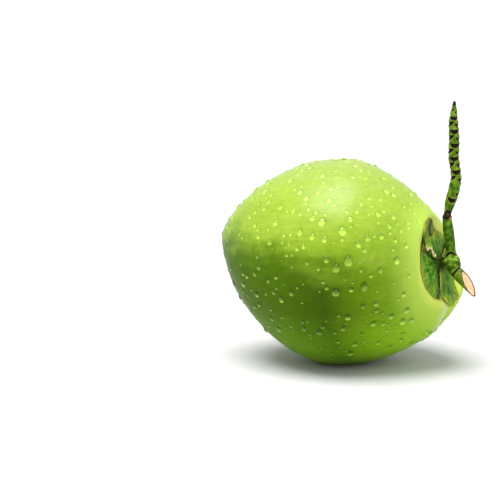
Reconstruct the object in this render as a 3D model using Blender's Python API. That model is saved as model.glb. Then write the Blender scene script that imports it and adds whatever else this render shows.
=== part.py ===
"""A whole green coconut, as picked, lying on its side: the husk, its calyx of three petals and three
sepals, and the stalk it grew on, cut off at one end and running out to a scarred flower spike.

Metres, +Z up. The husk rests on a small flat spot, whose centre is the origin, and the calyx faces +X.
Everything is shaped in the fruit's own frame, which has the husk's middle as its origin and the middle
of the calyx on its +X, and an empty then tilts that frame and stands it on the flat spot.
"""

import math

import bmesh
import bpy
from mathutils import Matrix, Vector

MM = 0.001

# The husk: an egg whose long axis leans away from the calyx, pressed in at its flutes.
HALF_LENGTH = 100 * MM
HALF_GIRTH = 85 * MM
FULLNESS = 1.71  # 2 is an ellipsoid, and less is leaner between the poles and the girth
LONG_AXIS_DROP = math.radians(14.5)  # how far the long axis points below the calyx
LONG_AXIS_SWING = math.radians(18)  # and how far to its left, seen from the stalk
NOSE_UP = math.radians(2.8)  # the slope of the fruit's frame as the fruit lies
FLAT_DEPTH = 1.8 * MM  # how much of the belly the flat spot takes away
HUSK_RINGS = 50
HUSK_SECTORS = 60
RING_CROWDING = 1.5  # over 1 crowds the rings towards the calyx, where the shape is finest

# Each flute: its angle from +X, its bearing round +X, its depth as a share of the radius, and the angle
# over which it fades. Bearing 0 is -Y and bearing 90 is up.
FLUTES = (
    (math.radians(63), math.radians(138), 0.150, math.radians(41)),
    (math.radians(45), math.radians(-45), 0.080, math.radians(32)),
    (math.radians(45), math.radians(-165), 0.040, math.radians(28)),
)
TIP_RISE = 2.5 * MM  # the blunt point at the end away from the stalk
TIP_SPREAD = math.radians(11)

# The seat that the calyx lies in: a round flat, a little hollow, whose axis leans away from +X.
SEAT_DISTANCE = 77.5 * MM
SEAT_LEAN = math.radians(12)
SEAT_LEAN_BEARING = math.radians(63)
SEAT_RADIUS = 32 * MM
SEAT_FADE = 5 * MM
SEAT_HOLLOW = 1.5 * MM

# The tepals: an inner whorl of petals on the husk and an outer one of sepals on top of them. The
# petals lap round like a pinwheel. Of the sepals, the second lies under both of its neighbours.
TEPAL_THICKNESS = 0.9 * MM
TEPAL_GAP = 0.5 * MM
TEPAL_SPAN = math.radians(150)
TIP_SPAN = math.radians(22)
# For each: its first bearing in degrees, its reach in mm, its level at its first and last edges,
# its tip's bearing and rise, and how many levels its rim bends down.
PETALS = (
    (-20, 27.5, 1, 0, 64, 7.5, 0.0),
    (-157, 28.0, 1, 0, -112, 6.0, 0.0),
    (91, 27.5, 1, 0, 180, 4.5, 0.0),
)
SEPALS = (
    (36, 24.0, 3, 2, 48, 9.0, 0.1),
    (-90, 32.5, 2, 2, -15, 0.0, 0.7),
    (147, 27.0, 3, 3, 263, 6.0, 0.1),
)
TEPAL_ROOT_RADIUS = 6.4 * MM
TEPAL_COLUMNS = 14
TEPAL_ROWS = 7

# The stalk's courses, from the seat's middle: out along +X, back along +Y, up along +Z, and the
# radius there. The stem starts with the knuckle over the calyx and ends at the spike's tip.
STEM_COURSE = (
    (12.6, 0.0, -8.0, 1.5),
    (12.6, 0.0, -6.0, 4.4),
    (12.6, 0.0, -1.0, 6.0),
    (11.3, 0.0, 5.0, 4.4),
    (10.8, 0.0, 12.0, 3.9),
    (9.8, 0.0, 23.0, 4.1),
    (8.7, 0.0, 33.0, 3.6),
    (9.4, 0.0, 39.0, 2.8),
    (11.8, 0.0, 47.5, 4.1),
    (15.5, 0.0, 59.5, 4.2),
    (16.6, 0.0, 68.0, 3.8),
    (15.1, 0.0, 81.0, 3.9),
    (15.8, 0.0, 95.0, 3.8),
    (15.5, 0.0, 108.0, 3.3),
    (16.2, 0.0, 117.0, 2.0),
    (16.7, 0.0, 123.5, 0.8),
)
STUB_COURSE = (
    (12.6, 0.0, -2.0, 4.2),
    (15.5, -1.0, -6.8, 4.2),
    (20.4, -2.5, -10.7, 4.0),
    (25.4, -4.0, -14.5, 4.0),
    (30.6, -5.5, -18.6, 4.0),
    (36.0, -7.0, -22.8, 4.0),
)
STALK_SIDES = 12
KNIFE_POINT = Vector((25.4, -4.0, -14.5)) * MM  # the middle of the slanted cut across the stub
KNIFE_NORMAL = Vector((0.80, -0.36, 0.48))
PEG_RADIUS = 5.0 * MM
PEG_LENGTH = 12.5 * MM

HUSK_GREEN = (0.335, 0.545, 0.055, 1)
PETAL_GREEN = (0.075, 0.190, 0.030, 1)
SEPAL_GREEN = (0.110, 0.250, 0.035, 1)
STALK_GREEN = (0.100, 0.240, 0.020, 1)


def smooth_step(low, high, value):
    """0 below low, 1 above high, and an easy S between them."""
    share = min(max((value - low) / (high - low), 0.0), 1.0)
    return share * share * (3 - 2 * share)


def direction(angle, bearing):
    """The unit vector at an angle from +X and a bearing round it."""
    return Vector(
        (
            math.cos(angle),
            -math.sin(angle) * math.cos(bearing),
            math.sin(angle) * math.sin(bearing),
        )
    )


LONG_AXIS = Vector(
    (
        math.cos(LONG_AXIS_DROP) * math.cos(LONG_AXIS_SWING),
        math.cos(LONG_AXIS_DROP) * math.sin(LONG_AXIS_SWING),
        -math.sin(LONG_AXIS_DROP),
    )
)
SEAT_MIDDLE = Vector((SEAT_DISTANCE, 0, 0))
SEAT_AXIS = direction(SEAT_LEAN, SEAT_LEAN_BEARING)
SEAT_UP = SEAT_AXIS.cross(Vector((0, 1, 0))).normalized()
SEAT_NEAR = SEAT_AXIS.cross(SEAT_UP)


def egg_radius(towards):
    """How far the husk would reach along a direction if it had no seat for the calyx."""
    along = abs(towards.dot(LONG_AXIS))
    across = math.sqrt(max(0.0, 1 - along * along))
    shares = (along / HALF_LENGTH) ** FULLNESS + (across / HALF_GIRTH) ** FULLNESS
    pressed = 1.0
    for angle, bearing, depth, spread in FLUTES:
        apart = towards.angle(direction(angle, bearing))
        pressed -= depth * math.exp(-((apart / spread) ** 2))
    tip = math.exp(-((towards.angle(-LONG_AXIS) / TIP_SPREAD) ** 2))
    return pressed * shares ** (-1 / FULLNESS) + TIP_RISE * tip


def skin_point(towards):
    """The point of the husk's skin in a direction from its middle."""
    radius = egg_radius(towards)
    facing = towards.dot(SEAT_AXIS)
    if facing > 0.5:
        seat_radius = SEAT_MIDDLE.dot(SEAT_AXIS) / facing
        off_middle = (towards * seat_radius - SEAT_MIDDLE).length
        hollow = SEAT_HOLLOW * max(0.0, 1 - (off_middle / SEAT_RADIUS) ** 2)
        inner = SEAT_RADIUS - SEAT_FADE
        share = 1 - smooth_step(inner, SEAT_RADIUS + SEAT_FADE, off_middle)
        radius += (seat_radius - hollow - radius) * share
    return towards * radius


def over_seat(off_middle, bearing, height):
    """The point at a distance from the seat's middle, a bearing round it and a height over the skin."""

    def skin_below(distance, turn):
        across = SEAT_NEAR * math.cos(turn) + SEAT_UP * math.sin(turn)
        return skin_point((SEAT_MIDDLE + across * distance).normalized())

    here = skin_below(off_middle, bearing)
    outward = skin_below(off_middle + MM, bearing) - here
    around = skin_below(off_middle, bearing + 0.05) - here
    normal = outward.cross(around).normalized()
    if normal.dot(SEAT_AXIS) < 0:
        normal = -normal
    return here + normal * height


def material(name, colour, roughness):
    made = bpy.data.materials.new(name)
    made.use_nodes = True
    shader = made.node_tree.nodes["Principled BSDF"]
    shader.inputs["Base Color"].default_value = colour
    shader.inputs["Roughness"].default_value = roughness
    shader.inputs["Metallic"].default_value = 0.0
    return made


def new_object(name, shape, look, parent):
    """Turns a bmesh into an object of the fruit's frame."""
    mesh = bpy.data.meshes.new(name)
    shape.to_mesh(mesh)
    shape.free()
    mesh.materials.append(look)
    mesh.shade_smooth()
    made = bpy.data.objects.new(name, mesh)
    bpy.context.scene.collection.objects.link(made)
    made.parent = parent
    return made


def cut_flat(shape, point, normal):
    """Slices a closed bmesh, drops what is on the normal's side and closes the cut with one face."""
    cut = bmesh.ops.bisect_plane(
        shape,
        geom=shape.verts[:] + shape.edges[:] + shape.faces[:],
        plane_co=point,
        plane_no=normal,
        clear_outer=True,
    )
    rim = [part for part in cut["geom_cut"] if isinstance(part, bmesh.types.BMEdge)]
    bmesh.ops.contextual_create(shape, geom=rim)
    bmesh.ops.recalc_face_normals(shape, faces=shape.faces)


def make_husk(down):
    """The husk with its flat spot. Returns its bmesh and the middle of the flat spot."""
    husk = bmesh.new()
    bmesh.ops.create_uvsphere(
        husk, u_segments=HUSK_SECTORS, v_segments=HUSK_RINGS, radius=1.0
    )
    # The sphere's poles come to lie on the X axis.
    turn = Matrix.Rotation(math.radians(90), 4, "Y")
    bmesh.ops.transform(husk, matrix=turn, verts=husk.verts)
    for vertex in husk.verts:
        share = vertex.co.angle(Vector((1, 0, 0))) / math.pi
        bearing = math.atan2(vertex.co.z, -vertex.co.y)
        vertex.co = skin_point(direction(math.pi * share**RING_CROWDING, bearing))
    drop = max(vertex.co.dot(down) for vertex in husk.verts) - FLAT_DEPTH
    cut_flat(husk, down * drop, down)
    flat_spot = min(husk.faces, key=lambda face: (face.normal - down).length)
    middle = flat_spot.calc_center_median_weighted()
    return husk, middle + down * (drop - middle.dot(down))


def make_tepal(first_bearing, reach, first_level, last_level, tip_bearing, tip_rise, droop):
    """One tepal, as a sheet over the seat that the Solidify modifier gives its thickness."""
    sheet = bmesh.new()
    bmesh.ops.create_grid(
        sheet, x_segments=TEPAL_COLUMNS, y_segments=TEPAL_ROWS, size=0.5
    )
    pitch = TEPAL_THICKNESS + TEPAL_GAP
    for vertex in sheet.verts:
        side = vertex.co.x + 0.5  # 0 at its first edge, 1 at its last one
        out = vertex.co.y + 0.5
        bearing = math.radians(first_bearing) + side * TEPAL_SPAN
        off_tip = (bearing - math.radians(tip_bearing)) / TIP_SPAN
        edge = reach * (1 - 0.16 * abs(2 * side - 1) ** 3) + tip_rise * math.exp(-(off_tip**2))
        off_middle = TEPAL_ROOT_RADIUS + out * (edge * MM - TEPAL_ROOT_RADIUS)
        level = first_level + (last_level - first_level) * smooth_step(0.26, 0.55, side)
        level -= droop * smooth_step(0.8, 1.0, out)
        height = TEPAL_GAP + TEPAL_THICKNESS / 2 + pitch * level
        vertex.co = over_seat(off_middle, bearing, height)
    bmesh.ops.recalc_face_normals(sheet, faces=sheet.faces)
    return sheet


def make_whorl(name, tepals, look, fruit):
    for number, numbers in enumerate(tepals, start=1):
        tepal = new_object(f"{name}_{number}", make_tepal(*numbers), look, fruit)
        thicken = tepal.modifiers.new("thickness", "SOLIDIFY")
        thicken.thickness = TEPAL_THICKNESS
        thicken.offset = 0.0


def smooth_course(points):
    """A Catmull-Rom curve through points, with one new point halfway between each two of them."""
    padded = [points[0], *points, points[-1]]
    course = []
    for before, start, end, after in zip(padded, padded[1:], padded[2:], padded[3:]):
        course.append(start)
        course.append((start * 9 + end * 9 - before - after) / 16)
    course.append(points[-1])
    return course


def make_tube(points):
    """A round tube: rings along a course of points and radii, bridged and closed at both ends."""
    course = smooth_course([Vector(point) * MM for point in points])
    tube = bmesh.new()
    rings = []
    side = Vector((0, 1, 0))
    for index, point in enumerate(course):
        middle = SEAT_MIDDLE + point.to_3d()
        ahead = course[min(index + 1, len(course) - 1)]
        behind = course[max(index - 1, 0)]
        across = (ahead - behind).to_3d().cross(side).normalized()
        ring = bmesh.ops.create_circle(tube, segments=STALK_SIDES, radius=1.0)["verts"]
        for vertex in ring:
            spoke = across * vertex.co.x + side * vertex.co.y
            vertex.co = middle + spoke * point[3]
        rings.append({edge for vertex in ring for edge in vertex.link_edges})
    for first, second in zip(rings, rings[1:]):
        bmesh.ops.bridge_loops(tube, edges=list(first | second))
    for end in (rings[0], rings[-1]):
        bmesh.ops.contextual_create(tube, geom=list(end))
    bmesh.ops.recalc_face_normals(tube, faces=tube.faces)
    return tube


def make_peg():
    """The short core that joins the stalk to the husk, through the middle of the tepals."""
    peg = bmesh.new()
    length = PEG_LENGTH - TEPAL_GAP
    bmesh.ops.create_cone(
        peg,
        cap_ends=True,
        segments=STALK_SIDES,
        radius1=PEG_RADIUS,
        radius2=PEG_RADIUS,
        depth=length,
    )
    turn = SEAT_AXIS.to_track_quat("Z", "X").to_matrix().to_4x4()
    start = SEAT_MIDDLE + SEAT_AXIS * (TEPAL_GAP - SEAT_HOLLOW)
    move = Matrix.Translation(start + SEAT_AXIS * (length / 2))
    bmesh.ops.transform(peg, matrix=move @ turn, verts=peg.verts)
    return peg


def make_stalk(look, fruit):
    """The stem, with the cut stub and the peg joined to its knuckle."""
    stalk = new_object("stalk", make_tube(STEM_COURSE), look, fruit)
    stub = make_tube(STUB_COURSE)
    cut_flat(stub, SEAT_MIDDLE + KNIFE_POINT, KNIFE_NORMAL)
    for name, shape in (("stub_joiner", stub), ("peg_joiner", make_peg())):
        joiner = new_object(name, shape, look, fruit)
        joiner.hide_render = True
        joiner.display_type = "WIRE"
        join = stalk.modifiers.new(name, "BOOLEAN")
        join.operation = "UNION"
        join.object = joiner


def build():
    for obj in list(bpy.data.objects):
        bpy.data.objects.remove(obj)
    fruit = bpy.data.objects.new("fruit", None)
    bpy.context.scene.collection.objects.link(fruit)
    tilt = Matrix.Rotation(-NOSE_UP, 3, "Y")
    down = tilt.inverted() @ Vector((0, 0, -1))

    husk, flat_spot = make_husk(down)
    new_object("husk", husk, material("husk_skin", HUSK_GREEN, 0.38), fruit)
    petal_skin = material("petal_skin", PETAL_GREEN, 0.55)
    sepal_skin = material("sepal_skin", SEPAL_GREEN, 0.55)
    make_whorl("petal", PETALS, petal_skin, fruit)
    make_whorl("sepal", SEPALS, sepal_skin, fruit)
    make_stalk(material("stalk_skin", STALK_GREEN, 0.5), fruit)

    fruit.rotation_euler = (0, -NOSE_UP, 0)
    fruit.location = -(tilt @ flat_spot)


build()
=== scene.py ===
import math
import random

import bmesh
import bpy
from mathutils import Matrix, Vector, noise


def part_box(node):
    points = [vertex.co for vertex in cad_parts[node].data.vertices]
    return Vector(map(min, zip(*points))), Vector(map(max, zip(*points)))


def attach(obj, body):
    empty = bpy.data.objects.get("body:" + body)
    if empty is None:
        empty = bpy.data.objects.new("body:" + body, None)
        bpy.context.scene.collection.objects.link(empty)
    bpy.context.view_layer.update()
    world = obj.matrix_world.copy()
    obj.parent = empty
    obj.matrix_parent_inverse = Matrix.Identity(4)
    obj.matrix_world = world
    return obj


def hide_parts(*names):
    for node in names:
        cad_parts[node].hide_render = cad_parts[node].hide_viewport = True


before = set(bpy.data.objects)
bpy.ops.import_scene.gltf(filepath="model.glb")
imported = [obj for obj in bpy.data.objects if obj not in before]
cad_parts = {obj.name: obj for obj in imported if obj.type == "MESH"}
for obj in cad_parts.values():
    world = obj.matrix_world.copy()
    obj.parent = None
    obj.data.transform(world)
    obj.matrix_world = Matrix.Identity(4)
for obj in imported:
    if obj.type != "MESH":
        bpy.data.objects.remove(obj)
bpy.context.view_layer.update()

# The husk: one grown body of fibre under a smooth green skin, egg-shaped with three soft ridges, and
# hollowed a little where the calyx sits. The plant waxes the skin itself, so it is half glossy, and
# it is paler where the calyx shaded it and on the ridges.

MM = 0.001
HALF_LENGTH = 100 * MM
HALF_GIRTH = 85 * MM
FULLNESS = 1.71
LONG_AXIS_DROP = math.radians(14.5)
LONG_AXIS_SWING = math.radians(18)
NOSE_UP = math.radians(2.8)
RING_CROWDING = 1.5
FLUTES = (
    (math.radians(63), math.radians(138), 0.150, math.radians(41)),
    (math.radians(45), math.radians(-45), 0.080, math.radians(32)),
    (math.radians(45), math.radians(-165), 0.040, math.radians(28)),
)
TIP_RISE = 2.5 * MM
TIP_SPREAD = math.radians(11)
SEAT_DISTANCE = 77.5 * MM
SEAT_LEAN = math.radians(12)
SEAT_LEAN_BEARING = math.radians(63)
SEAT_RADIUS = 32 * MM
SEAT_FADE = 5 * MM
SEAT_HOLLOW = 1.5 * MM
SKIN_RINGS = 210
SKIN_SECTORS = 240


def smooth_step(low, high, value):
    """0 below low, 1 above high, and an easy S between them."""
    share = min(max((value - low) / (high - low), 0.0), 1.0)
    return share * share * (3 - 2 * share)


def bell(value, width):
    """1 at 0, and fading away over a width on both sides."""
    return math.exp(-((value / width) ** 2))


def direction(angle, bearing):
    """The unit vector at an angle from the fruit's +X and a bearing round it: 0 is -Y, 90 is up."""
    return Vector(
        (
            math.cos(angle),
            -math.sin(angle) * math.cos(bearing),
            math.sin(angle) * math.sin(bearing),
        )
    )


LONG_AXIS = Vector(
    (
        math.cos(LONG_AXIS_DROP) * math.cos(LONG_AXIS_SWING),
        math.cos(LONG_AXIS_DROP) * math.sin(LONG_AXIS_SWING),
        -math.sin(LONG_AXIS_DROP),
    )
)
SEAT_MIDDLE = Vector((SEAT_DISTANCE, 0, 0))
SEAT_AXIS = direction(SEAT_LEAN, SEAT_LEAN_BEARING)
SEAT_UP = SEAT_AXIS.cross(Vector((0, 1, 0))).normalized()
SEAT_NEAR = SEAT_AXIS.cross(SEAT_UP)
FLUTE_TOWARDS = [(direction(angle, bearing), depth, spread) for angle, bearing, depth, spread in FLUTES]

# Fine shape of the skin: shallow swells, a furrow above the calyx, a dimple below it, and a crease.
SWELL_HEIGHT = 0.45 * MM
SWELL_LENGTH = 24 * MM
DENTS = (
    (math.radians(35), math.radians(62), 0.8 * MM, math.radians(5)),
    (math.radians(38), math.radians(-45), 0.9 * MM, math.radians(4)),
    (math.radians(80), math.radians(118), 1.2 * MM, math.radians(13)),
    (math.radians(118), math.radians(-30), 1.0 * MM, math.radians(12)),
)
DENT_TOWARDS = [(direction(angle, bearing), depth, spread) for angle, bearing, depth, spread in DENTS]
CREASE_BEARING = math.radians(-84)
CREASE_DRIFT = 0.74  # how far the crease swings as it leaves the calyx
CREASE_HEIGHT = 1.3 * MM


def egg_radius(towards):
    """How far the husk would reach along a direction if it had no seat for the calyx."""
    along = abs(towards.dot(LONG_AXIS))
    across = math.sqrt(max(0.0, 1 - along * along))
    shares = (along / HALF_LENGTH) ** FULLNESS + (across / HALF_GIRTH) ** FULLNESS
    pressed = 1.0
    for flute, depth, spread in FLUTE_TOWARDS:
        pressed -= depth * bell(towards.angle(flute), spread)
    tip = bell(towards.angle(-LONG_AXIS), TIP_SPREAD)
    return pressed * shares ** (-1 / FULLNESS) + TIP_RISE * tip


def skin_point(towards):
    """The point of the husk's skin in a direction from its middle, in the fruit's own frame."""
    radius = egg_radius(towards)
    facing = towards.dot(SEAT_AXIS)
    if facing > 0.5:
        seat_radius = SEAT_MIDDLE.dot(SEAT_AXIS) / facing
        off_middle = (towards * seat_radius - SEAT_MIDDLE).length
        hollow = SEAT_HOLLOW * max(0.0, 1 - (off_middle / SEAT_RADIUS) ** 2)
        inner = SEAT_RADIUS - SEAT_FADE
        share = 1 - smooth_step(inner, SEAT_RADIUS + SEAT_FADE, off_middle)
        radius += (seat_radius - hollow - radius) * share
    return towards * radius


def crease(angle, bearing):
    """How strongly the pale crease below the calyx shows at a place of the skin, from 0 to 1."""
    middle = CREASE_BEARING - CREASE_DRIFT * (angle - math.radians(20))
    off = (bearing - middle + math.pi) % math.tau - math.pi
    fade = smooth_step(math.radians(17), math.radians(24), angle)
    fade *= 1 - smooth_step(math.radians(36), math.radians(64), angle)
    return fade * bell(off * math.sin(angle), 0.032)


def fine_skin_point(angle, bearing):
    """skin_point with the skin's fine shape on it."""
    towards = direction(angle, bearing)
    point = skin_point(towards)
    off_seat = smooth_step(18 * MM, 40 * MM, (point - SEAT_MIDDLE).length)
    rise = SWELL_HEIGHT * noise.noise(point / SWELL_LENGTH)
    rise += 0.4 * SWELL_HEIGHT * noise.noise(point / SWELL_LENGTH * 2.7)
    for dent, depth, spread in DENT_TOWARDS:
        rise -= depth * bell(towards.angle(dent), spread)
    rise += CREASE_HEIGHT * crease(angle, bearing)
    return point + towards * rise * off_seat


husk_shape = bmesh.new()
fibre_way = husk_shape.verts.layers.float_vector.new("fibre_way")
paleness = husk_shape.verts.layers.float.new("paleness")
bmesh.ops.create_uvsphere(husk_shape, u_segments=SKIN_SECTORS, v_segments=SKIN_RINGS, radius=1.0)
# The ball's poles come to lie on the fruit's X axis, and its rings crowd towards the calyx.
turn = Matrix.Rotation(math.radians(90), 4, "Y")
bmesh.ops.transform(husk_shape, matrix=turn, verts=husk_shape.verts)
for vertex in husk_shape.verts:
    share = vertex.co.angle(Vector((1, 0, 0))) / math.pi
    angle = math.pi * share**RING_CROWDING
    bearing = math.atan2(vertex.co.z, -vertex.co.y)
    vertex.co = fine_skin_point(angle, bearing)
    # Drawn in towards both ends, so the streaks run together there without forming a star.
    spread = math.sqrt(math.sin(min(angle, math.pi)))
    vertex[fibre_way] = Vector((math.cos(bearing) * spread, math.sin(bearing) * spread, angle))
    vertex[paleness] = crease(angle, bearing)

# The fruit's frame tilts nose up, and stands so that the husk fills the husk's box.
TILT = Matrix.Rotation(-NOSE_UP, 3, "Y")
bmesh.ops.rotate(husk_shape, matrix=TILT, verts=husk_shape.verts)
husk_low, husk_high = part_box("husk")
shape_low = Vector(min(vertex.co[axis] for vertex in husk_shape.verts) for axis in range(3))
shape_high = Vector(max(vertex.co[axis] for vertex in husk_shape.verts) for axis in range(3))
HUSK_MIDDLE = (Vector(husk_low) + Vector(husk_high) - shape_low - shape_high) / 2
HUSK_MIDDLE.z = husk_high[2] - shape_high.z
bmesh.ops.translate(husk_shape, vec=HUSK_MIDDLE, verts=husk_shape.verts)
belly_cut = bmesh.ops.bisect_plane(
    husk_shape,
    geom=husk_shape.verts[:] + husk_shape.edges[:] + husk_shape.faces[:],
    plane_co=(0, 0, 0),
    plane_no=(0, 0, -1),
    clear_outer=True,
)
belly_rim = [part for part in belly_cut["geom_cut"] if isinstance(part, bmesh.types.BMEdge)]
bmesh.ops.contextual_create(husk_shape, geom=belly_rim)
bmesh.ops.recalc_face_normals(husk_shape, faces=husk_shape.faces)


def place(point):
    """A point of the fruit's own frame, where the fruit lies."""
    return TILT @ point + HUSK_MIDDLE


def finished(name, shape, look, node=None):
    """Turns a bmesh into a smooth-shaded piece of the fruit, standing for a node of the frame."""
    mesh = bpy.data.meshes.new(name)
    shape.to_mesh(mesh)
    shape.free()
    mesh.materials.append(look)
    mesh.shade_smooth()
    piece = bpy.data.objects.new(name, mesh)
    bpy.context.scene.collection.objects.link(piece)
    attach(piece, "root")
    if node:
        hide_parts(node)
    return piece


def paint(colour, share=1.0):
    """A colour given as sRGB hex, turned linear, and made darker by a share."""
    channels = [int(colour[start : start + 2], 16) / 255 for start in (1, 3, 5)]
    linear = [c / 12.92 if c <= 0.04045 else ((c + 0.055) / 1.055) ** 2.4 for c in channels]
    return (*[c * share for c in linear], 1.0)


def new_look(name):
    """A new material and its shader."""
    look = bpy.data.materials.new(name)
    look.use_nodes = True
    return look, look.node_tree.nodes["Principled BSDF"]


def add_node(look, kind, sockets=None, stops=None, **settings):
    """Adds a node: its own settings, its sockets' values or links, and the stops of a colour ramp."""
    made = look.node_tree.nodes.new("ShaderNode" + kind)
    for name, value in settings.items():
        setattr(made, name, value)
    for name, value in (sockets or {}).items():
        if isinstance(value, bpy.types.NodeSocket):
            look.node_tree.links.new(value, made.inputs[name])
        else:
            made.inputs[name].default_value = value
    if stops:
        ramp = made.color_ramp
        while len(ramp.elements) < len(stops):
            ramp.elements.new(1.0)
        for element, (position, colour) in zip(ramp.elements, stops):
            element.position = position
            element.color = colour if isinstance(colour, tuple) else (colour, colour, colour, 1)
    return made


# Living skin over fibre: waxed cuticle, a little uneven. Long fibres under it show as faint streaks
# from the calyx to the tip, and the cuticle gives it a broad soft shine.
skin, skin_shader = new_look("waxy_coconut_skin")
skin_place = add_node(skin, "TexCoord").outputs["Object"]
skin_fibres = add_node(skin, "Attribute", attribute_name="fibre_way").outputs["Vector"]
STREAK_WIDTH = 1.5 * MM
STREAK_LENGTH = 60 * MM
fibre_scale = (HALF_GIRTH / STREAK_WIDTH, HALF_GIRTH / STREAK_WIDTH, HALF_LENGTH / STREAK_LENGTH)
fibre_space = add_node(skin, "Mapping", {"Vector": skin_fibres, "Scale": fibre_scale}).outputs["Vector"]
streaks = add_node(skin, "TexNoise", {"Vector": fibre_space, "Scale": 1.0, "Detail": 4.0, "Roughness": 0.7})
broad_space = add_node(skin, "Mapping", {"Vector": skin_fibres, "Scale": (6.0, 6.0, 1.3)}).outputs["Vector"]
broad_bands = add_node(
    skin, "TexNoise", {"Vector": broad_space, "Scale": 1.0, "Detail": 5.0, "Roughness": 0.6}
)
CLOUD = 30 * MM
clouds = add_node(skin, "TexNoise", {"Vector": skin_place, "Scale": 1 / CLOUD, "Detail": 5.0})
MOTTLE = 5 * MM
mottles = add_node(skin, "TexNoise", {"Vector": skin_place, "Scale": 1 / MOTTLE, "Detail": 3.0})
skin_parts = add_node(skin, "SeparateXYZ", {"Vector": skin_place})
# Painted light: the colour is painted lighter with height, as if lit from above, and clouds and broad bands
# make that tone waver.
height = add_node(
    skin, "MapRange", {"Value": skin_parts.outputs["Z"], "From Min": 0.0, "From Max": husk_high[2]}
).outputs["Result"]
wavering = add_node(
    skin, "Math", {0: clouds.outputs["Fac"], 1: 0.24, 2: height}, operation="MULTIPLY_ADD"
).outputs["Value"]
wavering = add_node(
    skin, "Math", {0: broad_bands.outputs["Fac"], 1: 0.30, 2: wavering}, operation="MULTIPLY_ADD"
).outputs["Value"]
lit_height_share = add_node(
    skin, "MapRange", {"Value": wavering, "From Min": 0.6, "From Max": 1.3}
).outputs["Result"]
skin_tone_with_painted_light = add_node(
    skin,
    "ValToRGB",
    {"Fac": lit_height_share},
    stops=[
        (0.0, paint("#70900E")),
        (0.30, paint("#799A12")),
        (0.70, paint("#90AC34")),
        (1.0, paint("#92A950")),
    ],
).outputs["Color"]
# Painted shade: the underside is a deeper green, deepest on the flank, and painted lighter again at the very
# bottom as light thrown up from the table.
towards_calyx = add_node(
    skin,
    "MapRange",
    {"Value": skin_parts.outputs["X"], "From Min": -60 * MM, "From Max": 90 * MM},
).outputs["Result"]
painted_shade_colour = add_node(
    skin,
    "ValToRGB",
    {"Fac": towards_calyx},
    stops=[
        (0.30, paint("#466408")),
        (0.54, paint("#385406")),
        (0.70, paint("#5A7A0C")),
        (0.82, paint("#6A8E18")),
        (0.95, paint("#7C9E2C")),
    ],
).outputs["Color"]
painted_bounce_near_table = add_node(
    skin, "MapRange", {"Value": height, "From Min": 0.06, "From Max": 0.32, "To Min": 2.3, "To Max": 1.1}
).outputs["Result"]
painted_shade_colour = add_node(
    skin, "VectorMath", {0: painted_shade_colour, "Scale": painted_bounce_near_table}, operation="SCALE"
).outputs["Vector"]
wavering = add_node(
    skin, "Math", {0: towards_calyx, 1: 0.16, 2: wavering}, operation="MULTIPLY_ADD"
).outputs["Value"]
painted_shade_share = add_node(
    skin,
    "MapRange",
    {"Value": wavering, "From Min": 0.78, "From Max": 1.02, "To Min": 1.0, "To Max": 0.0},
    interpolation_type="SMOOTHSTEP",
).outputs["Result"]
skin_tone_with_painted_light = add_node(
    skin, "Mix", {0: painted_shade_share, 6: skin_tone_with_painted_light, 7: painted_shade_colour}, data_type="RGBA"
).outputs[2]
streak_shade = add_node(
    skin,
    "MapRange",
    {"Value": streaks.outputs["Fac"], "From Min": 0.3, "From Max": 0.7, "To Min": 0.89, "To Max": 1.08},
).outputs["Result"]
mottle_shade = add_node(
    skin,
    "MapRange",
    {"Value": mottles.outputs["Fac"], "From Min": 0.3, "From Max": 0.7, "To Min": 0.93, "To Max": 1.06},
).outputs["Result"]
shade = add_node(skin, "Math", {0: streak_shade, 1: mottle_shade}, operation="MULTIPLY").outputs["Value"]
streaked = add_node(skin, "VectorMath", {0: skin_tone_with_painted_light, "Scale": shade}, operation="SCALE").outputs["Vector"]
# The skin near the calyx stayed covered while the fruit grew, and is a pale yellow green.
seat_place = place(SEAT_MIDDLE)
from_seat = add_node(
    skin, "VectorMath", {0: skin_place, 1: tuple(seat_place)}, operation="DISTANCE"
).outputs["Value"]
from_seat = add_node(
    skin, "Math", {0: clouds.outputs["Fac"], 1: 8 * MM, 2: from_seat}, operation="MULTIPLY_ADD"
).outputs["Value"]
shaded = add_node(
    skin,
    "MapRange",
    {"Value": from_seat, "From Min": 37 * MM, "From Max": 66 * MM, "To Min": 0.85, "To Max": 0.0},
    interpolation_type="SMOOTHSTEP",
).outputs["Result"]
near_calyx = add_node(
    skin,
    "Mix",
    {0: shaded, 6: streaked, 7: paint("#AECB50")},
    data_type="RGBA",
).outputs[2]
round_calyx = add_node(
    skin, "VectorMath", {0: skin_place, 1: tuple(seat_place)}, operation="DISTANCE"
).outputs["Value"]
round_calyx = add_node(
    skin,
    "MapRange",
    {"Value": round_calyx, "From Min": 33 * MM, "From Max": 38 * MM, "To Min": 0.7, "To Max": 0.0},
).outputs["Result"]
near_calyx = add_node(
    skin, "Mix", {0: round_calyx, 6: near_calyx, 7: paint("#CBD762")}, data_type="RGBA"
).outputs[2]
crease_share = add_node(skin, "Attribute", attribute_name="paleness").outputs["Fac"]
crease_share = add_node(skin, "Math", {0: crease_share, 1: 0.8}, operation="MULTIPLY").outputs["Value"]
skin_colour = add_node(
    skin,
    "Mix",
    {0: crease_share, 6: near_calyx, 7: paint("#C1CE9D")},
    data_type="RGBA",
).outputs[2]
skin.node_tree.links.new(skin_colour, skin_shader.inputs["Base Color"])
skin_gloss = add_node(
    skin,
    "MapRange",
    {"Value": broad_bands.outputs["Fac"], "From Min": 0.3, "From Max": 0.7, "To Min": 0.26, "To Max": 0.40},
).outputs["Result"]
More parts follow.
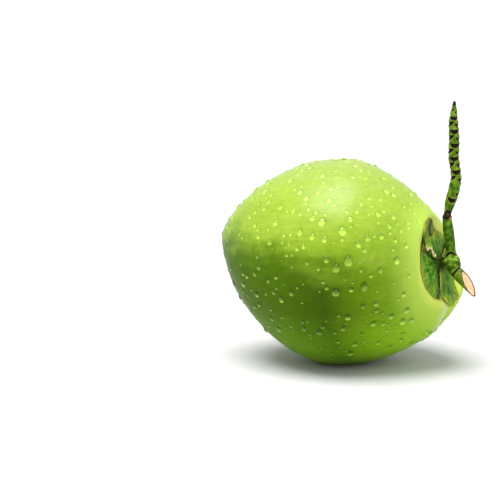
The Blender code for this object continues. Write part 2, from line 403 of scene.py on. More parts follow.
# Near the calyx the wax is thin and dull.
skin_gloss = add_node(
    skin, "Math", {0: shaded, 1: 0.3, 2: skin_gloss}, operation="MULTIPLY_ADD"
).outputs["Value"]
skin.node_tree.links.new(skin_gloss, skin_shader.inputs["Roughness"])
PORE = 1.1 * MM
pores = add_node(skin, "TexNoise", {"Vector": skin_place, "Scale": 1 / PORE, "Detail": 2.0})
relief = add_node(
    skin, "Math", {0: pores.outputs["Fac"], 1: 0.35, 2: streaks.outputs["Fac"]}, operation="MULTIPLY_ADD"
).outputs["Value"]
skin_bump = add_node(skin, "Bump", {"Height": relief, "Strength": 0.25, "Distance": 0.25 * MM})
skin.node_tree.links.new(skin_bump.outputs["Normal"], skin_shader.inputs["Normal"])
skin_shader.inputs["IOR"].default_value = 1.45
# The flank under the painted shade grew less wax and reflects less of the room.
skin_shine = add_node(
    skin, "Math", {0: painted_shade_share, 1: -0.21, 2: 0.25}, operation="MULTIPLY_ADD"
).outputs["Value"]
skin.node_tree.links.new(skin_shine, skin_shader.inputs["Specular IOR Level"])
finished("husk_skin", husk_shape, skin, "husk")

# The calyx: three leathery petals on the husk and three sepals over them, that lap round one another.
# The second sepal lies under both its neighbours. The neighbours' free edges have torn and dried to
# a cream line, and lift off it.

TEPAL_SPAN = math.radians(150)
TEPAL_ROOT_RADIUS = 3.2 * MM
TEPAL_COLUMNS = 130
TEPAL_ROWS = 64
TEPAL_THICKNESS = 0.6 * MM
LEVEL_PITCH = 0.85 * MM
TEPAL_CLEARANCE = 0.35 * MM
TEPAL_BOW = 0.5 * MM
PLEAT_HEIGHT = 0.45 * MM
BLISTER_HEIGHT = 0.22 * MM
ROOT_CLIMB = 3.2 * MM
EDGE_WANDER = 1.6 * MM
TORN_WIDTH = 1.3 * MM
CREVICE_SHADE_SPREAD = 6.5  # in degrees
# For each: its first bearing in degrees, its reach in mm, its level at its first and last edges,
# its tip's bearing, span and rise, how many levels its rim bends down, how far its first and last
# edges are torn, how far the torn edges lift, in mm, and the bearings of the painted shade
# beside the neighbours' edges.
PETALS = (
    (-20, 27.5, 1, 0, 66, 30, 8.5, 0.0, 0.4, 0.2, 0.2, 38, 82),
    (-157, 28.0, 1, 0, -114, 20, 5.5, 0.0, 0.3, 0.3, 0.2, -92, -20),
    (91, 27.5, 1, 0, 180, 20, 5.0, 0.0, 0.3, 0.3, 0.2, 147, 205),
)
SEPALS = (
    (36, 22.0, 3, 2, 46, 17, 9.5, 1.6, 2.6, 0.6, 2.6, 145, 150),
    (-90, 31.5, 2, 2, -8, 20, 1.6, 1.9, 0.5, 0.5, 0.2, -61, 28),
    (147, 27.5, 3, 3, 264, 19, 7.5, 1.9, 0.5, 0.8, 2.4, 400, 400),
)


def over_seat(off_middle, bearing, height):
    """The point at a distance from the seat's middle, a bearing round it and a height over the skin."""

    def skin_below(distance, turn):
        across = SEAT_NEAR * math.cos(turn) + SEAT_UP * math.sin(turn)
        return skin_point((SEAT_MIDDLE + across * distance).normalized())

    here = skin_below(off_middle, bearing)
    outward = skin_below(off_middle + MM, bearing) - here
    around = skin_below(off_middle, bearing + 0.05) - here
    normal = outward.cross(around).normalized()
    if normal.dot(SEAT_AXIS) < 0:
        normal = -normal
    return here + normal * height


def tepal_shape(seed, first_bearing, reach, first_level, last_level, tip_bearing, tip_span, tip_rise,
                droop, first_tear, last_tear, lift, first_crevice, last_crevice):
    """One tepal, a sheet bowed over the ones below it, with its ribs' course and its dry edges."""
    sheet = bmesh.new()
    rib_course = sheet.verts.layers.float_vector.new("rib_course")
    off_edge = sheet.verts.layers.float.new("off_edge")
    torn = sheet.verts.layers.float.new("torn")
    crevice_shade = sheet.verts.layers.float.new("crevice_shade")
    bmesh.ops.create_grid(sheet, x_segments=TEPAL_COLUMNS, y_segments=TEPAL_ROWS, size=0.5)
    for vertex in sheet.verts:
        side = vertex.co.x + 0.5
        out = vertex.co.y + 0.5
        bearing = math.radians(first_bearing) + side * TEPAL_SPAN
        off_tip = math.degrees(bearing) - tip_bearing
        edge = reach * (1 - 0.16 * abs(2 * side - 1) ** 3) + tip_rise * bell(off_tip, tip_span)
        edge += 0.7 * noise.noise(Vector((side * 16, seed, 0)))
        edge += 0.35 * noise.noise(Vector((side * 50, seed, 5)))
        off_middle = TEPAL_ROOT_RADIUS + out * (edge * MM - TEPAL_ROOT_RADIUS)
        # The two long edges wander more the more they are torn.
        wander = noise.noise(Vector((out * 4.5, seed, 11))) + 0.6 * noise.noise(Vector((out * 13, seed, 17)))
        first_share = (1 - smooth_step(0.0, 0.30, side)) * first_tear
        last_share = smooth_step(0.70, 1.0, side) * last_tear
        bearing += wander * (first_share - last_share) * EDGE_WANDER / max(off_middle, 10 * MM)
        level = first_level + (last_level - first_level) * smooth_step(0.26, 0.55, side)
        level -= droop * smooth_step(0.72, 1.0, out) ** 1.5
        height = TEPAL_CLEARANCE + TEPAL_THICKNESS / 2 + LEVEL_PITCH * level
        near_first = (1 - smooth_step(0.0, 0.12, side)) * smooth_step(0.1, 0.4, out)
        near_last = smooth_step(0.88, 1.0, side) * smooth_step(0.1, 0.4, out)
        curl = near_first * min(first_tear, 1.5) + near_last * min(last_tear, 1.5)
        height += lift * MM * 0.5 * curl * (1 + wander)
        # Shallow pleats and a blistered surface run out from the root.
        pleat = noise.noise(Vector((side * 13, out * 1.5, seed + 23)))
        blister = noise.noise(Vector((side * 20, out * 9, seed + 31)))
        height += (PLEAT_HEIGHT * pleat + BLISTER_HEIGHT * blister) * smooth_step(0.1, 0.5, out)
        bow = smooth_step(0.2, 0.6, out) * (1 - smooth_step(0.7, 1, out))
        height += TEPAL_BOW * math.sin(math.pi * side) * bow
        # The root climbs the foot of the fruit's own stalk.
        height += ROOT_CLIMB * (1 - smooth_step(0.0, 0.24, out)) ** 1.5
        vertex.co = place(over_seat(off_middle, bearing, height))
        to_rim = (1 - out) * (edge * MM - TEPAL_ROOT_RADIUS)
        to_first = side * TEPAL_SPAN * off_middle
        to_last = (1 - side) * TEPAL_SPAN * off_middle
        vertex[off_edge] = min(to_rim, to_first, to_last)
        tears = first_tear * bell(to_first, TORN_WIDTH) + last_tear * bell(to_last, TORN_WIDTH)
        vertex[torn] = min(1.0, 0.5 * tears) * smooth_step(0.15, 0.4, out)
        # Painted shade: darker beside the edges that lap over this tepal, and near its root.
        beside_first = bell(math.degrees(bearing) - first_crevice, CREVICE_SHADE_SPREAD)
        beside_last = bell(math.degrees(bearing) - last_crevice, CREVICE_SHADE_SPREAD)
        near_root = 1 - smooth_step(0.05, 0.30, out)
        vertex[crevice_shade] = min(1.0, beside_first + beside_last + near_root)
        vertex[rib_course] = Vector((side - 0.06 * out * out, out, seed))
    bmesh.ops.recalc_face_normals(sheet, faces=sheet.faces)
    if sum((face.normal for face in sheet.faces), Vector()).dot(TILT @ SEAT_AXIS) < 0:
        bmesh.ops.reverse_faces(sheet, faces=sheet.faces)
    return sheet


def tepal_look(name, middle, light, deep):
    """Leathery green leaf with fine ribs from root to rim, and an edge that has dried and cracked."""
    look, shader = new_look(name)
    place_now = add_node(look, "TexCoord").outputs["Object"]
    course = add_node(look, "Attribute", attribute_name="rib_course").outputs["Vector"]
    ribs_space = add_node(look, "Mapping", {"Vector": course, "Scale": (46.0, 2.0, 1.0)}).outputs["Vector"]
    ribs = add_node(look, "TexNoise", {"Vector": ribs_space, "Scale": 1.0, "Detail": 3.0}).outputs["Fac"]
    patches = add_node(
        look, "TexNoise", {"Vector": place_now, "Scale": 1 / (8 * MM), "Detail": 5.0}
    ).outputs["Fac"]
    crumbs = add_node(
        look, "TexNoise", {"Vector": place_now, "Scale": 1 / (1.3 * MM), "Detail": 3.0}
    ).outputs["Fac"]
    base = add_node(
        look,
        "ValToRGB",
        {"Fac": patches},
        stops=[(0.34, paint(deep)), (0.50, paint(middle)), (0.68, paint(light))],
    ).outputs["Color"]
    rib_share = add_node(
        look, "MapRange", {"Value": ribs, "From Min": 0.52, "From Max": 0.66, "To Min": 0.0, "To Max": 0.6}
    ).outputs["Result"]
    colour = add_node(look, "Mix", {0: rib_share, 6: base, 7: paint(light)}, data_type="RGBA").outputs[2]
    furrow_share = add_node(
        look, "MapRange", {"Value": ribs, "From Min": 0.48, "From Max": 0.36, "To Min": 0.0, "To Max": 0.7}
    ).outputs["Result"]
    colour = add_node(look, "Mix", {0: furrow_share, 6: colour, 7: paint(deep)}, data_type="RGBA").outputs[2]
    # The leaf thins and yellows towards its rim.
    off_edge = add_node(look, "Attribute", attribute_name="off_edge").outputs["Fac"]
    thin_share = add_node(
        look,
        "MapRange",
        {"Value": off_edge, "From Min": 0.0, "From Max": 6 * MM, "To Min": 0.5, "To Max": 0.0},
    ).outputs["Result"]
    colour = add_node(
        look, "Mix", {0: thin_share, 6: colour, 7: paint("#8CA830")}, data_type="RGBA"
    ).outputs[2]
    # A thin line along the rim has dried yellow brown, with nearly black nicks in it.
    ragged = add_node(
        look, "Math", {0: crumbs, 1: -1.6 * MM, 2: off_edge}, operation="MULTIPLY_ADD"
    ).outputs["Value"]
    dry = add_node(
        look,
        "MapRange",
        {"Value": ragged, "From Min": -0.7 * MM, "From Max": 0.1 * MM, "To Min": 1.0, "To Max": 0.0},
    ).outputs["Result"]
    dry_spots = add_node(
        look, "MapRange", {"Value": patches, "From Min": 0.36, "From Max": 0.52}
    ).outputs["Result"]
    dry = add_node(look, "Math", {0: dry, 1: dry_spots}, operation="MULTIPLY").outputs["Value"]
    colour = add_node(look, "Mix", {0: dry, 6: colour, 7: paint("#B39C30")}, data_type="RGBA").outputs[2]
    nicks = add_node(
        look, "TexNoise", {"Vector": place_now, "Scale": 1 / (2.6 * MM), "Detail": 1.0}
    ).outputs["Fac"]
    nicks = add_node(
        look, "MapRange", {"Value": nicks, "From Min": 0.57, "From Max": 0.62, "To Min": 0.0, "To Max": 0.95}
    ).outputs["Result"]
    nicks = add_node(look, "Math", {0: nicks, 1: dry}, operation="MULTIPLY").outputs["Value"]
    colour = add_node(look, "Mix", {0: nicks, 6: colour, 7: paint("#2A1A08")}, data_type="RGBA").outputs[2]
    # Painted shade: nearly black green where the neighbours' edges and the root would shade the leaf.
    crevice_shade_share = add_node(look, "Attribute", attribute_name="crevice_shade").outputs["Fac"]
    crevice_shade_share = add_node(look, "Math", {0: crevice_shade_share, 1: 0.85}, operation="MULTIPLY").outputs["Value"]
    colour = add_node(look, "Mix", {0: crevice_shade_share, 6: colour, 7: paint("#0D1605")}, data_type="RGBA").outputs[2]
    # Torn edges have bleached to cream over a tan line.
    torn = add_node(look, "Attribute", attribute_name="torn").outputs["Fac"]
    torn = add_node(look, "Math", {0: crumbs, 1: 0.9, 2: torn}, operation="MULTIPLY_ADD").outputs["Value"]
    torn_share = add_node(
        look, "MapRange", {"Value": torn, "From Min": 0.92, "From Max": 1.02}
    ).outputs["Result"]
    torn_colour = add_node(
        look,
        "ValToRGB",
        {"Fac": crumbs},
        stops=[(0.36, paint("#9A7A3C")), (0.50, paint("#CDBB80")), (0.62, paint("#E2DAB0"))],
    ).outputs["Color"]
    colour = add_node(look, "Mix", {0: torn_share, 6: colour, 7: torn_colour}, data_type="RGBA").outputs[2]
    look.node_tree.links.new(colour, shader.inputs["Base Color"])
    rough = add_node(look, "MapRange", {"Value": patches, "To Min": 0.45, "To Max": 0.70}).outputs["Result"]
    look.node_tree.links.new(rough, shader.inputs["Roughness"])
    shader.inputs["Specular IOR Level"].default_value = 0.08
    height = add_node(look, "Math", {0: crumbs, 1: 0.4, 2: ribs}, operation="MULTIPLY_ADD").outputs["Value"]
    bump = add_node(look, "Bump", {"Height": height, "Strength": 0.7, "Distance": 0.6 * MM})
    look.node_tree.links.new(bump.outputs["Normal"], shader.inputs["Normal"])
    return look


petal_skin = tepal_look("leathery_petal", "#5E7E18", "#98AC38", "#34540E")
sepal_skin = tepal_look("leathery_sepal", "#487C14", "#84AC38", "#1E480C")
for whorl, tepals, look in (("petal", PETALS, petal_skin), ("sepal", SEPALS, sepal_skin)):
    for number, numbers in enumerate(tepals, start=1):
        sheet = tepal_shape(3.7 * number + len(whorl), *numbers)
        tepal = finished(f"{whorl}_{number}_leaf", sheet, look, f"{whorl}_{number}")
        thicken = tepal.modifiers.new("thickness", "SOLIDIFY")
        thicken.thickness = TEPAL_THICKNESS
        thicken.offset = 0.0

# The stem: one grown piece, from the knuckle over the calyx up through the lower stalk and a dried
# neck to the flower spike. The male flowers that dropped off the spike left dark crescent scars on
# low cushions, set round it in a spiral.

STEM_COURSE = (
    (12.6, 0.0, -8.0, 1.5),
    (12.6, 0.0, -6.0, 4.4),
    (12.6, 0.0, -1.0, 6.0),
    (11.3, 0.0, 5.0, 4.4),
    (10.8, 0.0, 12.0, 3.9),
    (9.8, 0.0, 23.0, 4.1),
    (8.7, 0.0, 33.0, 3.6),
    (9.4, 0.0, 39.0, 2.8),
    (11.8, 0.0, 47.5, 4.1),
    (15.5, 0.0, 59.5, 4.2),
    (16.6, 0.0, 68.0, 3.8),
    (15.1, 0.0, 81.0, 3.9),
    (15.8, 0.0, 95.0, 3.8),
    (15.5, 0.0, 108.0, 3.3),
    (16.2, 0.0, 117.0, 2.0),
    (16.7, 0.0, 123.5, 0.8),
)
STEM_SIDES = 48
STEM_RINGS = 460
SCAR_PITCH = 2.05 * MM
SCAR_TURN = math.radians(144)
SCAR_START = 49 * MM
SCAR_END = 121 * MM
SCAR_FIRST_BEARING = math.radians(62)
SCAR_HALF_WIDTH = 3.7 * MM
SCAR_HALF_HEIGHT = 1.45 * MM
SCAR_DEPTH = 1.25 * MM
CUSHION_HALF_WIDTH = 3.0 * MM
CUSHION_HALF_HEIGHT = 2.6 * MM
CUSHION_RISE = 1.0 * MM
NECK_START = 34.0 * MM
NECK_END = 42.5 * MM
DRY_TIP_START = 119.5 * MM


def along_course(course, share):
    """The point and radius at a share of a course's length, on a Catmull-Rom curve through its points."""
    spans = len(course) - 1
    index = min(int(share * spans), spans - 1)
    t = share * spans - index
    before, start, end, after = (
        Vector(course[min(max(index + step, 0), spans)]) for step in (-1, 0, 1, 2)
    )
    point = start + (end - before) * (t / 2)
    point += (before * 2 - start * 5 + end * 4 - after) * (t * t / 2)
    return point + (start * 3 - before - end * 3 + after) * (t * t * t / 2)


def tube_shape(course, sides, rings, surface):
    """A ball drawn out along a course. surface gives each place's extra radius and its three tints."""
    tube = bmesh.new()
    scar_and_shade_tint = tube.verts.layers.float.new("scar_and_shade")
    dry_tint = tube.verts.layers.float.new("dry")
    pale_tint = tube.verts.layers.float.new("pale")
    way = tube.verts.layers.float_vector.new("fibre_way")
    bmesh.ops.create_uvsphere(tube, u_segments=sides, v_segments=rings, radius=1.0)
    for vertex in tube.verts:
        share = vertex.co.angle(Vector((0, 0, -1))) / math.pi
        turned = math.atan2(vertex.co.y, vertex.co.x)
        here = along_course(course, share)
        ahead = along_course(course, min(share + 0.01, 1.0))
        behind = along_course(course, max(share - 0.01, 0.0))
        across = Vector((0, 1, 0)).cross((ahead - behind).to_3d()).normalized()
        off_end = min(share, 1 - share, 0.012) / 0.012
        end_round = math.sqrt(max(0.0, 1 - (1 - off_end) ** 2))
        radius = here[3] * MM
        rise, scar_and_shade, dry, pale = surface(here.to_3d() * MM, turned, radius)
        spoke = across * math.cos(turned) + Vector((0, -1, 0)) * math.sin(turned)
        middle = SEAT_MIDDLE + here.to_3d() * MM
        vertex.co = place(middle + spoke * (radius + rise) * end_round)
        vertex[scar_and_shade_tint] = scar_and_shade
        vertex[dry_tint] = dry
        vertex[pale_tint] = pale
        vertex[way] = Vector((math.cos(turned), math.sin(turned), share * len(course)))
    bmesh.ops.recalc_face_normals(tube, faces=tube.faces)
    return tube


def stem_surface(middle, turned, radius):
    """The stem's collar, neck and scars, and painted shade in the groove over the collar: how much they raise
    it, and how dark, dry and pale it is.
    """
    height = middle.z
    rise = 0.22 * MM * noise.noise(Vector((math.cos(turned), math.sin(turned), height / (5 * MM))) * 1.4)
    lumps = noise.noise(Vector((math.cos(turned), math.sin(turned), height / (3.6 * MM))) * 1.9)
    rise += 1.5 * MM * lumps * bell(height - 0.5 * MM, 5 * MM)
    # The collar of the knuckle stands round the foot of the lower stalk.
    collar = bell(height - 3.2 * MM, 2.2 * MM)
    groove = bell(height - 6.6 * MM + 1.6 * MM * math.cos(turned * 2 + 0.6), 0.9 * MM)
    rise += 1.3 * MM * collar - 0.7 * MM * groove
    # Painted shade: the groove over the collar is darkened like a scar.
    scar_and_shade = 0.9 * groove
    pale = 0.9 * collar * (0.6 + lumps)
    # The neck has shrunk and browned where a bract fell off.
    neck = smooth_step(NECK_START, NECK_START + 1.2 * MM, height)
    neck *= 1 - smooth_step(NECK_END - 2 * MM, NECK_END, height)
    rim = bell(height - 35.6 * MM + 0.6 * MM * math.sin(turned * 2), 0.9 * MM)
    rise += 0.6 * MM * rim
    dry = min(1.0, neck + rim)
    tip = smooth_step(DRY_TIP_START, DRY_TIP_START + 2 * MM, height)
    scar_and_shade = max(scar_and_shade, tip)
    count = int((SCAR_END - SCAR_START) / SCAR_PITCH)
    nearest = round((height - SCAR_START) / SCAR_PITCH)
    for number in range(max(0, nearest - 4), min(count, nearest + 5)):
        # The lowest scars stand twice as far apart.
        if number < 7 and number % 2:
            continue
        up = height - SCAR_START - number * SCAR_PITCH
        off = (turned - SCAR_FIRST_BEARING - number * SCAR_TURN + math.pi) % math.tau - math.pi
        across = off * max(radius, 2.2 * MM)
        size = min(1.0, radius / (3.4 * MM))
        cushion = bell(across, CUSHION_HALF_WIDTH * size) * bell(up, CUSHION_HALF_HEIGHT * size)
        bend = 0.35 * across * across / SCAR_HALF_WIDTH
        hollow = bell(across, SCAR_HALF_WIDTH * size) * bell(up - bend, SCAR_HALF_HEIGHT * size)
        rise += (CUSHION_RISE * cushion - SCAR_DEPTH * hollow) * size
        scar_and_shade = max(scar_and_shade, hollow)
        pale = max(pale, 0.75 * cushion)
    return rise, scar_and_shade, dry, pale


# Green bark of a young stalk, finely ribbed lengthwise. Scars are nearly black with dull olive lips,
# and the neck is dry brown.
bark, bark_shader = new_look("green_stalk_bark")
bark_place = add_node(bark, "TexCoord").outputs["Object"]
bark_fibres = add_node(bark, "Attribute", attribute_name="fibre_way").outputs["Vector"]
bark_space = add_node(bark, "Mapping", {"Vector": bark_fibres, "Scale": (9.0, 9.0, 0.5)}).outputs["Vector"]
bark_ribs = add_node(bark, "TexNoise", {"Vector": bark_space, "Scale": 1.0, "Detail": 3.0}).outputs["Fac"]
bark_blots = add_node(
    bark, "TexNoise", {"Vector": bark_place, "Scale": 1 / (4 * MM), "Detail": 3.0}
).outputs["Fac"]
bark_share = add_node(
    bark, "Math", {0: bark_ribs, 1: 0.5, 2: bark_blots}, operation="MULTIPLY_ADD"
).outputs["Value"]
bark_green = add_node(
    bark,
    "ValToRGB",
    {"Fac": bark_share},
    stops=[(0.50, paint("#1E3A04")), (0.72, paint("#37580A")), (0.95, paint("#688C1C"))],
).outputs["Color"]
bark_pale = add_node(bark, "Attribute", attribute_name="pale").outputs["Fac"]
bark_pale = add_node(bark, "Math", {0: bark_pale, 1: bark_share}, operation="MULTIPLY").outputs["Value"]
bark_green = add_node(
    bark, "Mix", {0: bark_pale, 6: bark_green, 7: paint("#8FB82E")}, data_type="RGBA"
).outputs[2]
bark_dry = add_node(bark, "Attribute", attribute_name="dry").outputs["Fac"]
dry_colour = add_node(
    bark,
    "ValToRGB",
    {"Fac": bark_blots},
    stops=[(0.42, paint("#140B04")), (0.60, paint("#2E1C0C")), (0.72, paint("#B08A5C"))],
).outputs["Color"]
bark_mixed = add_node(bark, "Mix", {0: bark_dry, 6: bark_green, 7: dry_colour}, data_type="RGBA").outputs[2]
bark_scar_and_shade = add_node(bark, "Attribute", attribute_name="scar_and_shade").outputs["Fac"]
scar_lip = add_node(
    bark, "MapRange", {"Value": bark_scar_and_shade, "From Min": 0.06, "From Max": 0.20, "To Min": 0.0, "To Max": 0.35}
).outputs["Result"]
bark_mixed = add_node(
    bark, "Mix", {0: scar_lip, 6: bark_mixed, 7: paint("#8E9838")}, data_type="RGBA"
).outputs[2]
# The scars' near black also paints the shade in the knuckle's groove and over the stub's foot.
scar_and_shade_dark = add_node(
    bark, "MapRange", {"Value": bark_scar_and_shade, "From Min": 0.19, "From Max": 0.34}
).outputs["Result"]
bark_colour = add_node(
    bark, "Mix", {0: scar_and_shade_dark, 6: bark_mixed, 7: paint("#150E06")}, data_type="RGBA"
).outputs[2]
bark.node_tree.links.new(bark_colour, bark_shader.inputs["Base Color"])
bark_shader.inputs["Roughness"].default_value = 0.42
bark_shader.inputs["Specular IOR Level"].default_value = 0.07
bark_bump = add_node(bark, "Bump", {"Height": bark_ribs, "Strength": 0.5, "Distance": 0.3 * MM})
bark.node_tree.links.new(bark_bump.outputs["Normal"], bark_shader.inputs["Normal"])
stem_tube = tube_shape(STEM_COURSE, STEM_SIDES, STEM_RINGS, stem_surface)
finished("stalk_stem", stem_tube, bark, "stalk")

# The stub: the fruit's own short stalk, from the middle of the calyx through the knuckle and out to
# where a knife cut it aslant. The fresh cut is pale tan, of bundled fibres, inside a dark rim of bark.

STUB_COURSE = (
    (-1.0, 0.0, 0.5, 1.8),
    (4.0, 0.0, 0.0, 2.6),
    (10.0, 0.0, -2.0, 4.2),
    (14.2, -0.8, -5.4, 4.9),
    (19.6, -2.3, -10.1, 4.9),
    (25.4, -4.0, -14.5, 5.2),
    (30.6, -5.5, -18.6, 5.2),
    (36.0, -7.0, -22.8, 5.2),
)
KNIFE_POINT = Vector((25.4, -4.0, -14.5)) * MM
KNIFE_NORMAL = Vector((0.80, -0.36, 0.48))
CUT_RIM_WIDTH = 1.2 * MM


def stub_surface(middle, turned, radius):
    """The stub's soft ribs, the dark line where it leaves the knuckle, and painted shade over its foot."""
    rise = 0.25 * MM * noise.noise(Vector((math.cos(turned), math.sin(turned), middle.x / (9 * MM))) * 1.7)
    line = bell(middle.z + 6.6 * MM, 0.5 * MM)
    # Painted shade: the foot by the calyx is darkened like a scar.
    foot = 1 - smooth_step(7 * MM, 10 * MM, middle.x)
    paleness = smooth_step(11 * MM, 14 * MM, middle.x) * 0.25
    return rise - 0.4 * MM * line, max(0.8 * line, 0.3 * foot), 0.0, paleness


stub_shape = tube_shape(STUB_COURSE, 48, 120, stub_surface)
stub_cut = bmesh.ops.bisect_plane(
    stub_shape,
    geom=stub_shape.verts[:] + stub_shape.edges[:] + stub_shape.faces[:],
    plane_co=place(SEAT_MIDDLE + KNIFE_POINT),
    plane_no=KNIFE_NORMAL,
    clear_outer=True,
)
stub_rim = [part for part in stub_cut["geom_cut"] if isinstance(part, bmesh.types.BMEdge)]
cut_faces = bmesh.ops.contextual_create(stub_shape, geom=stub_rim)["faces"]
bmesh.ops.recalc_face_normals(stub_shape, faces=stub_shape.faces)
cut_rim = bmesh.ops.inset_region(stub_shape, faces=cut_faces, thickness=CUT_RIM_WIDTH)["faces"]
for face in cut_rim:
    face.material_index = 2
for face in cut_faces:
    face.material_index = 1

# Freshly cut stalk: pale tan, with the ends of its fibre bundles as fine darker dots.
cut_wood, cut_shader = new_look("fresh_cut_stalk")
cut_place = add_node(cut_wood, "TexCoord").outputs["Object"]
bundles = add_node(cut_wood, "TexVoronoi", {"Vector": cut_place, "Scale": 1 / (0.8 * MM)}).outputs["Distance"]
cut_clouds = add_node(
    cut_wood, "TexNoise", {"Vector": cut_place, "Scale": 1 / (4 * MM), "Detail": 3.0}
).outputs["Fac"]
cut_share = add_node(
    cut_wood, "Math", {0: bundles, 1: 0.5, 2: cut_clouds}, operation="MULTIPLY_ADD"
).outputs["Value"]
cut_colour = add_node(
    cut_wood,
    "ValToRGB",
    {"Fac": cut_share},
    stops=[(0.45, paint("#9E6E42")), (0.65, paint("#C8A078")), (0.95, paint("#DABF98"))],
).outputs["Color"]
cut_wood.node_tree.links.new(cut_colour, cut_shader.inputs["Base Color"])
cut_shader.inputs["Roughness"].default_value = 0.75
cut_bump = add_node(cut_wood, "Bump", {"Height": bundles, "Strength": 0.5, "Distance": 0.3 * MM})
cut_wood.node_tree.links.new(cut_bump.outputs["Normal"], cut_shader.inputs["Normal"])
stub = finished("stalk_stub", stub_shape, bark, "stalk")
stub.data.materials.append(cut_wood)

# The bark's cut edge has dried dark brown, crumbly and dull.
dried_rim, rim_shader = new_look("dried_bark_rim")
rim_place = add_node(dried_rim, "TexCoord").outputs["Object"]
rim_crumbs = add_node(dried_rim, "TexNoise", {"Vector": rim_place, "Scale": 1 / (0.9 * MM), "Detail": 3.0})
rim_colour = add_node(
    dried_rim,
    "ValToRGB",
    {"Fac": rim_crumbs.outputs["Fac"]},
    stops=[(0.35, paint("#1A1008")), (0.50, paint("#4A2E16")), (0.66, paint("#A67C48"))],
).outputs["Color"]
dried_rim.node_tree.links.new(rim_colour, rim_shader.inputs["Base Color"])
rim_shader.inputs["Roughness"].default_value = 0.8
stub.data.materials.append(dried_rim)
stub.data.set_sharp_from_angle(angle=math.radians(40))

# The water: fine drops that beaded on the waxed skin after it was sprayed. The large ones have sagged
# a little, and none sits on the calyx or under the belly.

SMALL_DROPS = 660
SMALLEST_DROP = 0.95 * MM
MIDDLE_DROP = 1.55 * MM
DROP_SPACING = 1.2 * MM
DRY_ROUND_CALYX = 42 * MM
# The largest drops, one by one: the angle from the calyx, the bearing round it and the drop's radius.
LARGE_DROPS = (
    (80, 28, 3.1),
    (69, 24, 3.2),
    (56, 22, 2.5),
    (65, 8, 3.3),
    (71, 4, 3.1),
    (72, -9, 3.0),
    (57, -8, 2.9),
    (45, 42, 2.2),
    (49, 61, 2.2),
    (46, 34, 2.1),
    (49, 25, 2.1),
    (91, 22, 2.5),
    (84, 20, 2.3),
    (39, 9, 2.4),
    (42, 8, 2.0),
    (48, 2, 2.2),
    (41, -52, 2.5),
    (36, -43, 2.3),
    (68, -26, 2.4),
    (72, -33, 2.3),
    (75, -56, 2.6),
    (80, 48, 2.2),
)
drops = bmesh.new()
painted_glow = drops.verts.layers.float.new("painted_glow")
rim_shade = drops.verts.layers.float.new("rim_shade")
droplets = random.Random(11)
placed = []


def add_drop(angle, bearing, radius):
    """Sets a drop on the skin, if no other drop is in its way."""
    here = place(fine_skin_point(angle, bearing))
    if any((here - other).length < radius + size + DROP_SPACING for other, size in placed):
        return
    placed.append((here, radius))
    step = 0.02
    outward = place(fine_skin_point(angle + step, bearing)) - here
    around = place(fine_skin_point(angle, bearing + step)) - here
    normal = outward.cross(around).normalized()
    if normal.dot(here - HUSK_MIDDLE) < 0:
        normal = -normal
    down = Vector((0, 0, -1)) - normal * -normal.z
    sag = down.length * min(1.0, radius / (3 * MM))
    down = down.normalized() if down.length > 0.01 else normal.orthogonal().normalized()
    aside = normal.cross(down)
    ball = bmesh.ops.create_icosphere(drops, subdivisions=2, radius=1.0)["verts"]
    stretch = droplets.uniform(0.9, 1.15) + 0.3 * sag
    tall = droplets.uniform(0.50, 0.62)
    bend = droplets.uniform(-0.12, 0.12)
    for vertex in ball:
        x, y, z = vertex.co
        # Painted light: the lower half of each dome carries the painted glow, and its rim and upper side the
        # painted shade.
        vertex[painted_glow] = smooth_step(-0.25, 0.55, x) * smooth_step(0.15, 0.5, z)
        vertex[rim_shade] = 1 - smooth_step(0.1, 0.75 - 0.25 * x, z)
        z = z * tall if z > 0 else z * 0.12
        # A sagging drop is fullest near its lower end.
        low = x * stretch + 0.18 * sag * (1 - x * x)
        wide = y * (1 + 0.16 * sag * x) + bend * x * x
        vertex.co = here + (down * low + aside * wide + normal * z) * radius


for angle, bearing, radius in LARGE_DROPS:
    add_drop(math.radians(angle), math.radians(bearing), radius * MM)
while len(placed) < SMALL_DROPS:
    angle = math.acos(droplets.uniform(-0.97, 0.93))
    bearing = droplets.uniform(-math.pi, math.pi)
    radius = min(2.3 * MM, SMALLEST_DROP + droplets.expovariate(1 / (MIDDLE_DROP - SMALLEST_DROP)))
    towards = direction(angle, bearing)
    if (skin_point(towards) - SEAT_MIDDLE).length > DRY_ROUND_CALYX and towards.z > -0.8:
        add_drop(angle, bearing, radius)
bmesh.ops.recalc_face_normals(drops, faces=drops.faces)

# Clear water. Each drop works as a lens, and its light is painted: its rim and upper side are painted a
# darker green as shade, and its lower half has a painted glow, a yellow-green emission where light from above
# would gather.
water, water_shader = new_look("clear_water")
water_rim = add_node(water, "Attribute", attribute_name="rim_shade").outputs["Fac"]
water_glow = add_node(water, "Attribute", attribute_name="painted_glow").outputs["Fac"]
water_place = add_node(water, "TexCoord").outputs["Object"]
water_wander = add_node(
    water, "TexNoise", {"Vector": water_place, "Scale": 1 / (9 * MM), "Detail": 1.0}
).outputs["Fac"]
painted_rim_tint = add_node(
    water, "Mix", {0: water_rim, 6: (1, 1, 1, 1), 7: paint("#6F8C3C")}, data_type="RGBA"
).outputs[2]
water.node_tree.links.new(painted_rim_tint, water_shader.inputs["Base Color"])
glow_strength = add_node(
    water,
    "MapRange",
    {"Value": water_wander, "From Min": 0.35, "From Max": 0.65, "To Min": 0.20, "To Max": 0.52},
).outputs["Result"]
glow_strength = add_node(
    water, "Math", {0: glow_strength, 1: water_glow}, operation="MULTIPLY"
).outputs["Value"]
water.node_tree.links.new(glow_strength, water_shader.inputs["Emission Strength"])
water_shader.inputs["Emission Color"].default_value = paint("#D8F26A")
water_shader.inputs["Transmission Weight"].default_value = 1.0
water_shader.inputs["Roughness"].default_value = 0.0
water_shader.inputs["IOR"].default_value = 1.333
water_shader.inputs["Specular IOR Level"].default_value = 1.0
water_drops = finished("water_drops", drops, water)
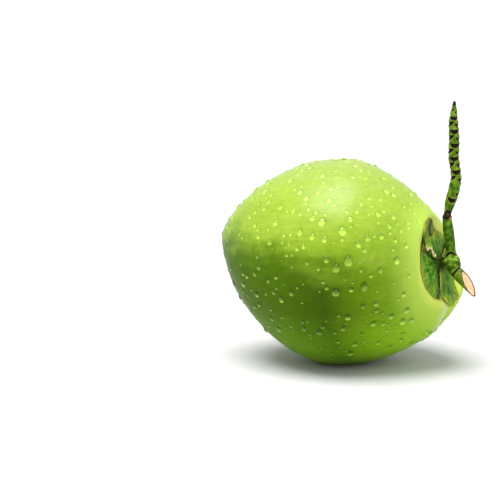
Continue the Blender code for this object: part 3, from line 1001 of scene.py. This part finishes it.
# Light passes through water, so the drops throw no shadow on the skin below them.
water_drops.visible_shadow = False

# The table: a plain pale surface, under a big soft light hung over the fruit and a bright room.

floor_shape = bmesh.new()
bmesh.ops.create_grid(floor_shape, x_segments=1, y_segments=1, size=6.0)
floor_mesh = bpy.data.meshes.new("table")
floor_shape.to_mesh(floor_mesh)
floor_shape.free()
# Matt white paint: it has no shine and shows only the soft shadow.
table_paint, table_shader = new_look("matt_white_table")
table_shader.inputs["Base Color"].default_value = (0.56, 0.56, 0.56, 1)
table_shader.inputs["Roughness"].default_value = 0.9
table_shader.inputs["Specular IOR Level"].default_value = 0.2
floor_mesh.materials.append(table_paint)
floor = bpy.data.objects.new("table", floor_mesh)
bpy.context.scene.collection.objects.link(floor)

# The room is white at eye level and dimmer above, so the light overhead gives the form.
world = bpy.data.worlds.new("white_room")
world.use_nodes = True
room_nodes = world.node_tree.nodes
room_way = room_nodes.new("ShaderNodeTexCoord")
room_split = room_nodes.new("ShaderNodeSeparateXYZ")
room_fade = room_nodes.new("ShaderNodeMapRange")
world.node_tree.links.new(room_way.outputs["Generated"], room_split.inputs["Vector"])
world.node_tree.links.new(room_split.outputs["Z"], room_fade.inputs["Value"])
world.node_tree.links.new(room_fade.outputs["Result"], room_nodes["Background"].inputs["Strength"])
room_fade.inputs["From Min"].default_value = 0.10
room_fade.inputs["From Max"].default_value = 0.35
room_fade.inputs["To Min"].default_value = 1.05
room_fade.inputs["To Max"].default_value = 0.72
room_nodes["Background"].inputs["Color"].default_value = (1, 1, 1, 1)
bpy.context.scene.world = world

light_data = bpy.data.lights.new("overhead_light", "SUN")
light_data.energy = 4.4
light_data.angle = math.radians(40)
light = bpy.data.objects.new("overhead_light", light_data)
LIGHT_LEAN = math.radians(15)
LIGHT_AZIMUTH = math.radians(-22)
light.rotation_euler = (LIGHT_LEAN, 0, LIGHT_AZIMUTH)
bpy.context.scene.collection.objects.link(light)

# A weak wide light from the right thins the shadow on that side.
side_data = bpy.data.lights.new("side_light", "SUN")
side_data.energy = 0.6
side_data.angle = math.radians(70)
side_light = bpy.data.objects.new("side_light", side_data)
side_light.rotation_euler = (math.radians(62), 0, math.radians(98))
bpy.context.scene.collection.objects.link(side_light)

# A long lens stands in front of the fruit, swung towards the calyx and a little above it.
camera_data = bpy.data.cameras.new("camera")
camera_data.lens = 85
camera_data.sensor_width = 36
camera_data.clip_start = 0.05
camera_data.clip_end = 30
camera = bpy.data.objects.new("camera", camera_data)
CAMERA_AZIMUTH = math.radians(28)
CAMERA_ELEVATION = math.radians(8)
CAMERA_DISTANCE = 0.95
FRUIT_RIGHT_OF_AIM = 76.6 * MM
FRUIT_BELOW_AIM = 8.5 * MM
camera.rotation_euler = (math.radians(90) - CAMERA_ELEVATION, 0, CAMERA_AZIMUTH)
camera_turn = camera.rotation_euler.to_matrix()
camera.location = HUSK_MIDDLE + camera_turn @ Vector((-FRUIT_RIGHT_OF_AIM, FRUIT_BELOW_AIM, CAMERA_DISTANCE))
bpy.context.scene.collection.objects.link(camera)
bpy.context.scene.camera = camera
bpy.context.scene.view_settings.view_transform = "Standard"
